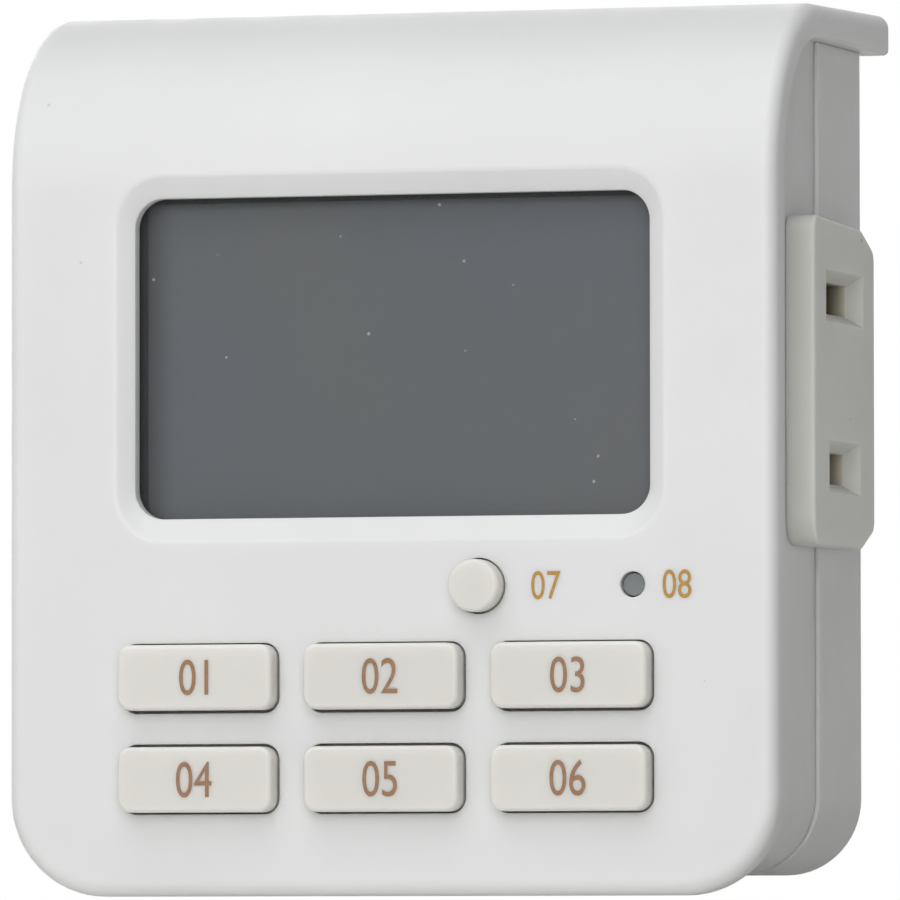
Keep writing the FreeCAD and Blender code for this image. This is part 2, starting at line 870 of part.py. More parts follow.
def rounded_route(points):
    """Straight runs joined by arcs, each as large as its two runs allow."""
    edges = []
    start = points[0]
    for before, corner, after in zip(points, points[1:], points[2:]):
        into = (corner - before).normalize()
        away = (after - corner).normalize()
        turn = into.getAngle(away)
        cut = cable_round_share * min((corner - before).Length, (after - corner).Length)
        first = corner - into * cut
        last = corner + away * cut
        bulge = cut / math.tan((math.pi - turn) / 2)
        inward = (away - into).normalize()
        middle = corner + inward * (math.hypot(cut, bulge) - bulge)
        edges.append(Part.LineSegment(start, first).toShape())
        edges.append(Part.Arc(first, middle, last).toShape())
        start = last
    edges.append(Part.LineSegment(start, points[-1]).toShape())
    return Part.Wire(edges)


def board_cable():
    """Four insulated wires from the control board's socket to the power board's."""
    near = board_back + header_height
    far = power_depth - header_height
    bend = cable_bend_share * (far - near)
    wires = []
    for x in cable_x_places():
        high, low = (up(h) for h in cable_heights)
        points = [Vector(x, back(near), high), Vector(x, back(near + bend), high),
                  Vector(x, back(far - bend), low), Vector(x, back(far), low)]
        circle = Part.Wire(Part.makeCircle(wire_radius, points[0], Vector(0, 1, 0)))
        wires.append(rounded_route(points).makePipeShell([circle], True, False))
    return Part.makeCompound(wires)


def power_board():
    y = (back(power_depth), back(power_depth + power_thickness))
    board = box((-power_half_width, power_half_width), y, (up(power_low), up(power_high)))
    holes = [rod_back(p, (power_depth - over, power_depth + power_thickness + over),
                      small_screw_radius + 2 * fit_gap) for p in power_post_places]
    holes += [leg_pin(side, fit_gap) for side in (-1, 1)]
    holes.append(strap_pin(fit_gap))
    return board.cut(holes)


def on_power_board(x, depth, height_span):
    """Component body that stands forward from the power board, its front edges rounded."""
    y = (back(power_depth - depth), back(power_depth))
    body = box(x, y, (up(height_span[0]), up(height_span[1])))
    return body.makeFillet(lip_round, face_rim(body, (0, 1, 0), y[0]))


def relay():
    """Relay that fills the room between the board's left edge and the diodes."""
    x = (relay_edge_gap - power_half_width, row_starts()[1] - relay_gap)
    depth = power_depth - board_back - relay_front_gap
    return on_power_board(x, depth, span(relay_centre, relay_height))


def film_capacitor():
    """Film capacitor between the left board screw and the neutral blade's leg."""
    x = (power_post_places[0][0] + small_head_radius + film_screw_gap,
         -blade_spacing / 2 - blade_thickness / 2 - film_leg_gap)
    return on_power_board(x, film_depth, span(film_centre, film_height))


def varistor_x():
    return cable_x - header_size[0] / 2 - varistor_gap - varistor_thickness / 2


def electrolytic_capacitors():
    """Upright cans in a row to the left of the varistor."""
    cans = []
    right_side = varistor_x() - varistor_thickness / 2
    for height, (radius, length) in zip(can_heights, can_sizes):
        place = (right_side - can_gap - radius, height)
        can = rod_back(place, (power_depth - length, power_depth), radius)
        cans.append(can.makeFillet(lip_round, face_rim(can, (0, 1, 0), back(power_depth - length))))
        right_side = place[0] - radius
    return Part.makeCompound(cans)


def varistor():
    """Coated disc that stands on two leads."""
    x0 = varistor_x()
    stand = varistor_radius + lead_stand
    centre = (x0 - varistor_thickness / 2, back(power_depth - stand), up(varistor_height))
    disc = rod(centre, (1, 0, 0), varistor_radius, varistor_thickness)
    disc = disc.makeFillet(varistor_round, disc.Edges)
    leads = [rod_back((x0, varistor_height + side * varistor_radius / 2),
                      (power_depth - stand, power_depth), lead_radius) for side in (-1, 1)]
    return join([disc] + leads)


def axial_half(length):
    """Half the room that an axial part and its two feet take along X."""
    return length / 2 + 2 * lead_radius + lead_foot_radius


def row_starts():
    """Left ends of the resistors' row and of the diodes' row, from the strap leftwards."""
    resistor_start = strap_x()[0] - resistor_gap - 2 * axial_half(resistor_length)
    return resistor_start, resistor_start - diode_gap - 2 * axial_half(diode_length)


def axial_part(start, height, radius, length):
    """Part that lies along X on two bent leads."""
    x0 = start + axial_half(length)
    depth = power_depth - radius - lead_stand
    reach = length / 2 + 2 * lead_radius
    body = rod((x0 - length / 2, back(depth), up(height)), (1, 0, 0), radius, length)
    lead = rod((x0 - reach, back(depth), up(height)), (1, 0, 0), lead_radius, 2 * reach)
    feet = [rod_back((x0 + side * reach, height), (depth - lead_foot_radius, power_depth),
                     lead_foot_radius) for side in (-1, 1)]
    return join([body, lead] + feet)


def diodes():
    return Part.makeCompound([axial_part(row_starts()[1], h, diode_radius, diode_length)
                              for h in diode_heights])


def resistors():
    return Part.makeCompound([axial_part(row_starts()[0], h, resistor_radius, resistor_length)
                              for h in resistor_heights])


def driver_transistor():
    """Half-round transistor body on three leads."""
    x0 = strap_x()[0] - transistor_gap - transistor_radius
    body_end = power_depth - transistor_stand
    body = rod_back((x0, transistor_height), (body_end - transistor_length, body_end),
                    transistor_radius)
    flat = box((x0 - 2 * transistor_radius, x0 - transistor_radius / 2),
               (front_y, 0), span(up(transistor_height), 4 * transistor_radius))
    leads = [rod_back((x0, transistor_height + shift * transistor_radius / 2),
                      (body_end - over, power_depth), lead_radius) for shift in (-1, 0, 1)]
    return join([body.cut(flat)] + leads)


def power_screws():
    return Part.makeCompound([screw(p, power_depth, -1, small_head_radius, small_head_height,
                                    small_screw_radius, power_thickness + wall / 2)
                              for p in power_post_places])


def screw(place, seat, head_way, head_radius, head_height, radius, length):
    """Cross-head screw along Y: its head lies on the head_way side of its seat depth."""
    head_end = seat + head_way * head_height
    head = rod_back(place, sorted((seat, head_end)), head_radius)
    head = head.makeFillet(head_round, face_rim(head, (0, 1, 0), back(head_end)))
    tip = seat - head_way * length
    shank = rod_back(place, sorted((seat, tip)), radius)
    cuts = []
    cut_y = sorted((back(head_end - head_way * cross_depth), back(head_end + head_way * over)))
    for size_x, size_z in ((cross_width, head_radius), (head_radius, cross_width)):
        cuts.append(box(span(place[0], size_x), cut_y, span(up(place[1]), size_z)))
    return head.fuse(shank).removeSplitter().cut(cuts)


def case_screws():
    seat = parting_depth + case_well_floor
    return Part.makeCompound([screw(p, seat, 1, screw_head_radius, screw_head_height,
                                    screw_radius, screw_length) for p in case_screw_places()])


def board_screws():
    return Part.makeCompound([screw(p, board_back, 1, small_head_radius, small_head_height,
                                    small_screw_radius, board_screw_length)
                              for p in board_post_places()])


def leg_top():
    return up(power_high - leg_edge_gap)


def leg_pin(side, gap):
    """Solder pin of a blade's leg through the power board."""
    x = span(side * blade_spacing / 2, blade_thickness + 2 * gap)
    y = (back(power_depth) - over, back(power_depth + power_thickness + pin_reach))
    return box(x, y, (leg_top() - leg_width - gap, leg_top() + gap))


def blade(side, width, root_depth):
    """Flat blade with a shoulder inside the boss and a leg to the power board."""
    x = span(side * blade_spacing / 2, blade_thickness)
    stem = box(x, (back(root_depth), blade_reach), span(0, width))
    stem = stem.makeChamfer(blade_tip_chamfer, face_rim(stem, (0, 1, 0), blade_reach))
    shoulder = box(x, (back(power_depth), -wall), span(0, width + 2 * shoulder_extra))
    z_low = leg_top() - leg_width
    arm = box(x, (back(root_depth), back(root_depth + leg_width)), (z_low, -width / 2))
    foot = box(x, (back(root_depth), back(power_depth)), (z_low, leg_top()))
    hole = rod((x[0] - over, blade_hole_reach, 0), (1, 0, 0), blade_hole_radius,
               blade_thickness + 2 * over)
    return join([stem, shoulder, arm, foot, leg_pin(side, 0)]).cut(hole)


def line_blade():
    return blade(1, line_blade_width, line_root)


def neutral_blade():
    return blade(-1, neutral_blade_width, neutral_root)


def blade_holder():
    """Insulating block that clamps both blade roots in the boss."""
    half_z = boss_half_height - wall - holder_gap
    y = (back(holder_front), -wall - holder_gap)
    block = rounded_box((-holder_half_width, holder_half_width), y, (-half_z, half_z),
                        (0, 1, 0), boss_round - wall)
    cuts = []
    for side, width, root in ((1, line_blade_width, line_root),
                              (-1, neutral_blade_width, neutral_root)):
        x = span(side * blade_spacing / 2, blade_thickness + 2 * fit_gap)
        low = back(root) - fit_gap
        cuts.append(box(x, (low, 0), span(0, width + 2 * fit_gap)))
        cuts.append(box(x, (back(power_depth) - fit_gap, 0),
                        span(0, width + 2 * (shoulder_extra + fit_gap))))
        cuts.append(box(x, (low, back(root + leg_width) + over), (-half_z - over, 0)))
    return block.cut(cuts)


def outlet_outline(x):
    """Block along X in the outline of the outlet's face, with slanted rear corners."""
    front, rear = span(back(outlet_depth), outlet_width)
    low, high = span(up(outlet_centre), outlet_height)
    slant_y = rear - outlet_slant[0]
    fallen = high - outlet_top_fall
    corners = [(front, low, outlet_low_round), (front, high, outlet_top_round),
               (slant_y, fallen, outlet_slant_round),
               (rear, fallen - outlet_slant[1], outlet_slant_round),
               (rear, low + outlet_slant[1], outlet_slant_round),
               (slant_y, low, outlet_slant_round)]
    points = [Vector(x[0], y, z) for y, z, _ in corners]
    block = Part.Face(Part.makePolygon(points + points[:1])).extrude(Vector(x[1] - x[0], 0, 0))
    for point, (_, _, radius) in zip(points, corners):
        block = block.makeFillet(radius, [e for e in straight_edges(block, (1, 0, 0))
                                          if e.distToShape(Part.Vertex(point))[0] < near])
    return block


def outlet_face():
    """Side outlet's face block, its neck through the case wall and its inner flange."""
    z = span(up(outlet_centre), outlet_height)
    face_x = half_width + outlet_proud
    block = outlet_outline((band_half, face_x))
    block = block.makeFillet(outlet_edge_round, face_rim(block, (1, 0, 0), face_x))
    block = block.cut(box((band_half - over, shell_half), (parting_y, over), z))
    inner_x = band_half - wall
    neck = outlet_block((carrier_front_x, shell_half + fit_gap), 0, neck_round)
    flange = outlet_block((carrier_front_x, inner_x), flange_extra,
                          neck_round + flange_extra)
    slots = [funnel_slot(place, length) for place, length in slot_places()]
    return join([block, neck, flange]).cut(slots)


def slot_places():
    """Heights and lengths of the outlet's two slots: neutral above line."""
    offset = blade_spacing / 2
    return ((outlet_centre + offset, neutral_slot), (outlet_centre - offset, line_slot))


def funnel_slot(height, length):
    """Slot along X with a tapered mouth on the outer face."""
    face_x = half_width + outlet_proud
    y = span(back(outlet_depth), length)
    z = span(up(height), slot_height)
    hole = box((carrier_front_x - over, face_x + over), y, z)

    def rect(x, grow_y, grow_z):
        corners = [Vector(x, y[0] - grow_y, z[0] - grow_z), Vector(x, y[1] + grow_y, z[0] - grow_z),
                   Vector(x, y[1] + grow_y, z[1] + grow_z), Vector(x, y[0] - grow_y, z[1] + grow_z)]
        return Part.makePolygon(corners + corners[:1])

    mouth = Part.makeLoft([rect(face_x - funnel_depth, 0, 0),
                           rect(face_x, funnel_side, funnel_end)], True, True)
    return hole.fuse(mouth)


def outlet_carrier():
    """Insulating block behind the outlet's face, with a pocket for each contact."""
    x = (carrier_back_x, carrier_front_x)
    half_y = outlet_width / 2 - neck_inset - carrier_inset
    y = (back(outlet_depth - half_y), back(power_depth - carrier_board_gap))
    z = span(up(outlet_centre), outlet_height - 2 * neck_inset - 2 * carrier_inset)
    block = rounded_box(x, y, z, (1, 0, 0), neck_round)
    pockets = []
    for height, _ in slot_places():
        size_y = contact_width + 2 * pocket_gap
        size_z = 2 * (contact_grip + contact_thickness + pocket_gap)
        pockets.append(box((x[0] - over, x[1] + over), span(back(outlet_depth), size_y),
                           span(up(height), size_z)))
    return block.cut(pockets)


def contact(height):
    """U-shaped spring contact: two leaves that pinch a blade, joined at the back."""
    x = (strap_back_x, carrier_front_x - contact_setback)
    y = span(back(outlet_depth), contact_width)
    z0 = up(height)
    outer = contact_grip + contact_thickness
    spine = box((x[0], x[0] + contact_back), y, (z0 - outer, z0 + outer))
    leaves = [box(x, y, sorted((z0 + side * contact_grip, z0 + side * outer)))
              for side in (-1, 1)]
    return join([spine] + leaves)


def strap_x():
    return (strap_back_x - strap_thickness, strap_back_x)


def strap_pin(gap):
    """Solder pin of the switched strap through the power board."""
    x = strap_x()
    y = (back(power_depth) - over, back(power_depth + power_thickness + pin_reach))
    z = span(up(power_high - strap_pin_drop), strap_pin_width + 2 * gap)
    return box((x[0] - gap, x[1] + gap), y, z)


def switched_strap():
    """Flat strap from the power board to the line contact."""
    ends = (up(slot_places()[1][0]), up(power_high - strap_pin_drop))
    z = (min(ends) - strap_width / 2, max(ends) + strap_width / 2)
    strip = box(strap_x(), (back(outlet_depth - strap_reach), back(power_depth)), z)
    return join([strip, strap_pin(0)])


def neutral_strap():
    """Folded strap from the neutral blade's root to the neutral contact."""
    x = strap_x()
    z = span(up(slot_places()[0][0]), strap_width)
    y = (back(neutral_root) - strap_thickness, back(neutral_root))
    run = box((-blade_spacing / 2 - blade_thickness, x[1]), y, z)
    fold = box(x, (back(outlet_depth - strap_reach), y[1]), z)
    return join([run, fold])


def all_parts():
    parts = {
        "front_cover": front_cover(),
        "rear_shell": rear_shell(),
        "display_window": display_window(),
        "lcd_panel": lcd_panel(),
        "lcd_frame": lcd_frame(),
        "zebra_strips": zebra_strips(),
        "keypad_mat": keypad_mat(),
        "control_board": control_board(),
        "board_screws": board_screws(),
        "controller_chip": controller_chip(),
        "crystal": crystal(),
        "backup_battery": backup_battery(),
        "battery_tabs": battery_tabs(),
        "round_key": round_key(),
        "reset_plunger": reset_plunger(),
        "cable_headers": cable_headers(),
        "board_cable": board_cable(),
        "power_board": power_board(),
        "power_screws": power_screws(),
        "relay": relay(),
        "film_capacitor": film_capacitor(),
        "electrolytic_capacitors": electrolytic_capacitors(),
        "varistor": varistor(),
        "diodes": diodes(),
        "resistors": resistors(),
        "driver_transistor": driver_transistor(),
        "line_blade": line_blade(),
        "neutral_blade": neutral_blade(),
        "blade_holder": blade_holder(),
        "outlet_face": outlet_face(),
        "outlet_carrier": outlet_carrier(),
        "neutral_contact": contact(slot_places()[0][0]),
        "line_contact": contact(slot_places()[1][0]),
        "neutral_strap": neutral_strap(),
        "switched_strap": switched_strap(),
        "case_screws": case_screws(),
    }
    for name, place in key_places().items():
        parts[f"key_{name}"] = rect_key(place)
    for name, (place, radius, top_radius) in dome_places().items():
        parts[name] = dome(place, radius, top_radius)
    return parts


def main():
    os.makedirs("parts", exist_ok=True)
    for name, shape in all_parts().items():
        shape.exportStep(f"parts/{name}.step")
        print(name, len(shape.Solids), "solids", round(shape.Volume, 1), "mm3", shape.isValid())


main()
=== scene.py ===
import json
import math

import bpy
from mathutils import Matrix, Vector


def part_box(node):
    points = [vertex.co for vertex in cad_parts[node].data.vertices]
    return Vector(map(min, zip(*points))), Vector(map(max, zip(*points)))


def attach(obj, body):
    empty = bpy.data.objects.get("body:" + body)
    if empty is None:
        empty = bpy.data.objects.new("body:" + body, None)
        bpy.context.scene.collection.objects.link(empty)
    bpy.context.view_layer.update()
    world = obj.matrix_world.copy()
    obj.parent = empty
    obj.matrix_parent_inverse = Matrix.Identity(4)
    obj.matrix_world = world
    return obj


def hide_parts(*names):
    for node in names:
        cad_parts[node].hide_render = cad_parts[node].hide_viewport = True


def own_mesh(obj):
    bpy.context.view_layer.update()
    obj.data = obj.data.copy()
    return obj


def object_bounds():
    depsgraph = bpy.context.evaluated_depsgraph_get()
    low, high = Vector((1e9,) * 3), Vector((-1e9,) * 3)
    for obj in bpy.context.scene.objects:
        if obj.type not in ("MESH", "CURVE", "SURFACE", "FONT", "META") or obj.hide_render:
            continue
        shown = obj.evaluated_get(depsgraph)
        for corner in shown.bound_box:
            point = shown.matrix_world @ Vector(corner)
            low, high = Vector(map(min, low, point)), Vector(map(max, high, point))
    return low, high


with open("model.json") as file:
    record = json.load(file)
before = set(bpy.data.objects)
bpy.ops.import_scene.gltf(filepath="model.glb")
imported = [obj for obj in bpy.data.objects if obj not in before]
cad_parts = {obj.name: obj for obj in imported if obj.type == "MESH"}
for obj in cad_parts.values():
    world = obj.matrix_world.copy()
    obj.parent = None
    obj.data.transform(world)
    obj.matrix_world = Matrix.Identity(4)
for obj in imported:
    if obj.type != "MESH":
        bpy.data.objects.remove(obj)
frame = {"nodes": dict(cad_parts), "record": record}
cad_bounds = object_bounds()

MM = 0.001
WHITE = (1.0, 1.0, 1.0, 1.0)

# Camera, fitted to the photograph's edges. Its image is 900 x 900 pixels.
CAMERA_AZIMUTH = 17.06
CAMERA_ELEVATION = -2.34
CAMERA_ROLL = -0.064
CAMERA_DISTANCE = 908.7 * MM
CAMERA_TARGET = Vector((0.53, -18.9, -9.94)) * MM
CAMERA_CLIP_START = 10.0 * MM
SENSOR_WIDTH = 36.0
FOCAL_PIXELS = 12085
IMAGE_PIXELS = 900

# Stage, with a floor that ends inside the lamps' circle
FLOOR_DROP = 4.0 * MM
FLOOR_SIZE = 0.9
FLOOR_COLOR = (0.86, 0.85, 0.83, 1.0)
FLOOR_SHADE = (0.84, 0.83, 0.81, 1.0)
AMBIENT_STRENGTH = 0.02
BACKDROP_STRENGTH = 1.0

# Parts of a noise's range that are spread over a whole change: a narrow one for clouds of
# tone, and a wide one for gloss and for streaks
NARROW_LOW = 0.35
NARROW_HIGH = 0.65
WIDE_LOW = 0.3
WIDE_HIGH = 0.7

# Moulded plastic: how far its roughness drifts down and up, how strong its coarse grain is
# beside the fine one, and the depth that light reaches in the white mouldings
SMOOTHER = 0.05
ROUGHER = 0.06
COARSE_SHARE = 0.6
SCATTER_DEPTH = 1.2 * MM

# Metal: the scale of its streaks along X, Y and Z, and the roughness that tarnish adds
STREAK_STRETCH = (1.0, 1.0, 12.0)
TARNISH = 0.15

# Cover of the lens where it is clean and where a grain of dust lies
VEIL_ALPHA = 0.02
DUST_ALPHA = 0.26

# Display panel: the view inside its black printed border, and the painted shade along two sides of
# it
VIEW_HALF_WIDTH = 19.7 * MM
VIEW_TOP = 8.3 * MM
SIDE_SHADE = 1.9 * MM
TOP_SHADE = 0.6 * MM
BORDER_BLUR = 0.1 * MM

# Slots of the side outlet, above and below its middle: the depth of their tapered mouths, and how
# far behind the mouths the painted shade on their walls goes on darkening
SLOT_OFFSET = 6.35 * MM
SLOT_HALF_HEIGHT = 1.3 * MM
SLOT_HALF_LENGTH = 5.0 * MM
MOUTH_DEPTH = 1.1 * MM
MOUTH_BLUR = 0.1 * MM
SLOT_SHADE = 1.4 * MM

# Print on the keys, and beside the small keys by a shift from each one's middle
PRINT_THICKNESS = 0.03 * MM
PRINT_SUNK = 0.01 * MM
KEY_PRINT_HEIGHT = 2.65 * MM
FACE_PRINT_HEIGHT = 2.1 * MM
ROUND_PRINT_SHIFT = 5.2 * MM
RESET_PRINT_SHIFT = 3.4 * MM
DIGIT_NARROWING = 0.78
DIGIT_CURVE_STEPS = 6


def srgb(red, green, blue):
    """Linear colour, with alpha, of an 8-bit screen colour."""
    def linear(value):
        value = value / 255
        return value / 12.92 if value <= 0.04045 else ((value + 0.055) / 1.055) ** 2.4
    return (linear(red), linear(green), linear(blue), 1.0)


def add_object(name, data):
    piece = bpy.data.objects.new(name, data)
    bpy.context.collection.objects.link(piece)
    return piece


class Nodes:
    """A material's node tree with short ways to add and link nodes."""

    def __init__(self, name):
        self.material = bpy.data.materials.new(name)
        self.material.use_nodes = True
        self.tree = self.material.node_tree
        self.shader = self.tree.nodes["Principled BSDF"]
        self.place = self.add("ShaderNodeTexCoord").outputs["Object"]

    def add(self, kind, **settings):
        node = self.tree.nodes.new(kind)
        for key, value in settings.items():
            setattr(node, key, value)
        return node

    def link(self, source, target):
        self.tree.links.new(source, target)

    def even(self, socket, value):
        """Value of the shader that is the same all over the surface."""
        self.shader.inputs[socket].default_value = value

    def varied(self, socket, source):
        """Value of the shader that changes over the surface."""
        self.link(source, self.shader.inputs[socket])

    def noise(self, scale, detail=2.0):
        node = self.add("ShaderNodeTexNoise")
        node.inputs["Scale"].default_value = scale
        node.inputs["Detail"].default_value = detail
        self.link(self.place, node.inputs["Vector"])
        return node.outputs["Fac"]

    def remap(self, source, low, high, to_low=0.0, to_high=1.0):
        node = self.add("ShaderNodeMapRange")
        for index, value in enumerate((low, high, to_low, to_high)):
            node.inputs[index + 1].default_value = value
        self.link(source, node.inputs[0])
        return node.outputs[0]

    def mix(self, factor, first, second):
        """Colour between two, each of them a socket or a plain colour."""
        node = self.add("ShaderNodeMix", data_type="RGBA")
        self.link(factor, node.inputs["Factor"])
        colors = {socket.name: socket for socket in node.inputs if socket.type == "RGBA"}
        for name, value in (("A", first), ("B", second)):
            if isinstance(value, tuple):
                colors[name].default_value = value
            else:
                self.link(value, colors[name])
        return next(socket for socket in node.outputs if socket.type == "RGBA")

    def clouds(self, color, shade, scale):
        """Colour that drifts between two tones in soft patches."""
        patches = self.remap(self.noise(scale, detail=3.0), NARROW_LOW, NARROW_HIGH)
        return self.mix(patches, color, shade)

    def bump(self, heights, strengths, distance):
        """Chain of bumps from height sources, the finest last."""
        normal = None
        for height, strength in zip(heights, strengths):
            node = self.add("ShaderNodeBump")
            node.inputs["Strength"].default_value = strength
            node.inputs["Distance"].default_value = distance
            self.link(height, node.inputs["Height"])
            if normal:
                self.link(normal, node.inputs["Normal"])
            normal = node.outputs["Normal"]
        self.varied("Normal", normal)

    def compute(self, operation, *values):
        """Arithmetic on sockets and numbers."""
        node = self.add("ShaderNodeMath", operation=operation)
        for socket, value in zip(node.inputs, values):
            if isinstance(value, float):
                socket.default_value = value
            else:
                self.link(value, socket)
        return node.outputs[0]

    def distance(self, source, middle):
        """How far a value lies from a middle, either way."""
        return self.compute("ABSOLUTE", self.compute("SUBTRACT", source, middle))

    def axis(self, letter):
        """The X, Y or Z coordinate in the object's frame."""
        split = self.add("ShaderNodeSeparateXYZ")
        self.link(self.place, split.inputs[0])
        return split.outputs[letter]

    def specks(self, scale, size, share):
        """Mask of sparse round specks: cells per metre, radius in cells, share of cells used."""
        cells = self.add("ShaderNodeTexVoronoi")
        cells.inputs["Scale"].default_value = scale
        self.link(self.place, cells.inputs["Vector"])
        split = self.add("ShaderNodeSeparateColor")
        self.link(cells.outputs["Color"], split.inputs[0])
        near = self.compute("LESS_THAN", cells.outputs["Distance"], size)
        used = self.compute("LESS_THAN", split.outputs[0], share)
        return self.compute("MULTIPLY", near, used)


def moulded_plastic(name, color, shade, rough=0.42, grain=0.10, speck=None, specked=0.08,
                    scatter=0.0, painted_shade=None):
    """Satin moulded plastic: cloudy tone, fine grain, a few specks of dust, and some depth."""
    nodes = Nodes(name)
    tone = nodes.clouds(color, shade, scale=45)
    if speck:
        tone = nodes.mix(nodes.specks(scale=330, size=0.055, share=specked), tone, speck)
    # Painted shade over the tone, where a material is given it
    if painted_shade:
        tone = painted_shade(nodes, tone)
    nodes.varied("Base Color", tone)
    sheen = nodes.noise(scale=600, detail=3.0)
    nodes.varied("Roughness", nodes.remap(sheen, WIDE_LOW, WIDE_HIGH,
                                          rough - SMOOTHER, rough + ROUGHER))
    nodes.bump([nodes.noise(scale=900), nodes.noise(scale=5200)],
               strengths=[COARSE_SHARE * grain, grain], distance=0.03 * MM)
    nodes.even("IOR", 1.46)
    nodes.even("Subsurface Weight", scatter)
    nodes.even("Subsurface Radius", (1.0, 1.0, 1.0))
    nodes.even("Subsurface Scale", SCATTER_DEPTH)
    return nodes.material


def paint_slot_shade(nodes, tone):
    """Painted shade inside the outlet's two slots: a warm tone on their walls, darker with depth.
    """
    low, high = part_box("outlet_face")
    mouth = high[0] - MOUTH_DEPTH
    off_middle = nodes.distance(nodes.axis("Z"), (low[2] + high[2]) / 2)
    off_slot = nodes.distance(off_middle, SLOT_OFFSET)
    off_length = nodes.distance(nodes.axis("Y"), (low[1] + high[1]) / 2)
    in_height = nodes.compute("LESS_THAN", off_slot, SLOT_HALF_HEIGHT)
    in_length = nodes.compute("LESS_THAN", off_length, SLOT_HALF_LENGTH)
    in_outline = nodes.compute("MULTIPLY", in_height, in_length)
    behind_mouth = nodes.remap(nodes.axis("X"), mouth + MOUTH_BLUR, mouth - MOUTH_BLUR)
    in_slot = nodes.compute("MULTIPLY", behind_mouth, in_outline)
    # Painted shade on the slot walls: pale at the mouths, dark olive with depth
    deep = nodes.remap(nodes.axis("X"), mouth, mouth - SLOT_SHADE)
    walls = nodes.mix(deep, srgb(224, 219, 202), srgb(108, 100, 72))
    return nodes.mix(in_slot, tone, walls)


def lcd_film():
    """Grey polariser film with a black printed border, and painted shade inside its left and its
    top.
    """
    nodes = Nodes("lcd_film")
    tone = nodes.clouds(srgb(85, 87, 89), srgb(82, 85, 91), scale=40)
    across = nodes.axis("X")
    up = nodes.axis("Z")
    left = -VIEW_HALF_WIDTH
    right = VIEW_HALF_WIDTH
    # Painted shade along the film's left and top, darkest next to the border
    shade = srgb(58, 60, 62)
    border = srgb(28, 28, 29)
    tone = nodes.mix(nodes.remap(across, left, left + SIDE_SHADE), shade, tone)
    tone = nodes.mix(nodes.remap(up, VIEW_TOP, VIEW_TOP - TOP_SHADE), shade, tone)
    for along, edge, inward in ((across, left, 1), (across, right, -1), (up, VIEW_TOP, -1)):
        view = nodes.remap(along, edge, edge + inward * BORDER_BLUR)
        tone = nodes.mix(view, border, tone)
    nodes.varied("Base Color", tone)
    nodes.bump([nodes.noise(scale=2600)], strengths=[0.015], distance=0.02 * MM)
    nodes.even("Roughness", 0.5)
    nodes.even("IOR", 1.3)
    return nodes.material


def clear_lens():
    """Clear window: a faint veil of gloss and grains of dust over what lies behind."""
    nodes = Nodes("clear_lens")
    dust = nodes.specks(scale=340, size=0.044, share=0.95)
    nodes.varied("Base Color", nodes.mix(dust, srgb(205, 214, 220), srgb(235, 235, 230)))
    nodes.varied("Alpha", nodes.remap(dust, 0.0, 1.0, VEIL_ALPHA, DUST_ALPHA))
    nodes.even("Roughness", 0.2)
    return nodes.material


def ink(name, color, shade):
    """Printed ink with slightly uneven cover."""
    nodes = Nodes(name)
    nodes.varied("Base Color", nodes.clouds(color, shade, scale=2400))
    nodes.bump([nodes.noise(scale=4000)], strengths=[0.08], distance=0.01 * MM)
    nodes.even("Roughness", 0.5)
    nodes.even("IOR", 1.35)
    return nodes.material


def metal(name, color, shade, rough):
    """Rolled or plated metal with drawn streaks and a little tarnish."""
    nodes = Nodes(name)
    mapping = nodes.add("ShaderNodeMapping")
    mapping.inputs["Scale"].default_value = STREAK_STRETCH
    nodes.link(nodes.place, mapping.inputs["Vector"])
    nodes.place = mapping.outputs["Vector"]
    streak = nodes.noise(scale=900, detail=4.0)
    nodes.varied("Base Color", nodes.mix(nodes.remap(streak, WIDE_LOW, WIDE_HIGH),
                                         color, shade))
    nodes.varied("Roughness", nodes.remap(streak, WIDE_LOW, WIDE_HIGH,
                                          rough, rough + TARNISH))
    nodes.bump([streak], strengths=[0.08], distance=0.02 * MM)
    nodes.even("Metallic", 1.0)
    return nodes.material


def laminate():
    """Green circuit board with a faint weave below its mask."""
    nodes = Nodes("laminate")
    wave = nodes.add("ShaderNodeTexWave")
    wave.inputs["Scale"].default_value = 900
    wave.inputs["Distortion"].default_value = 1.5
    nodes.link(nodes.place, wave.inputs["Vector"])
    weave = wave.outputs["Fac"]
    nodes.varied("Base Color", nodes.mix(weave, srgb(34, 92, 52), srgb(42, 108, 62)))
    nodes.bump([weave], strengths=[0.05], distance=0.02 * MM)
    nodes.even("Roughness", 0.35)
    return nodes.material


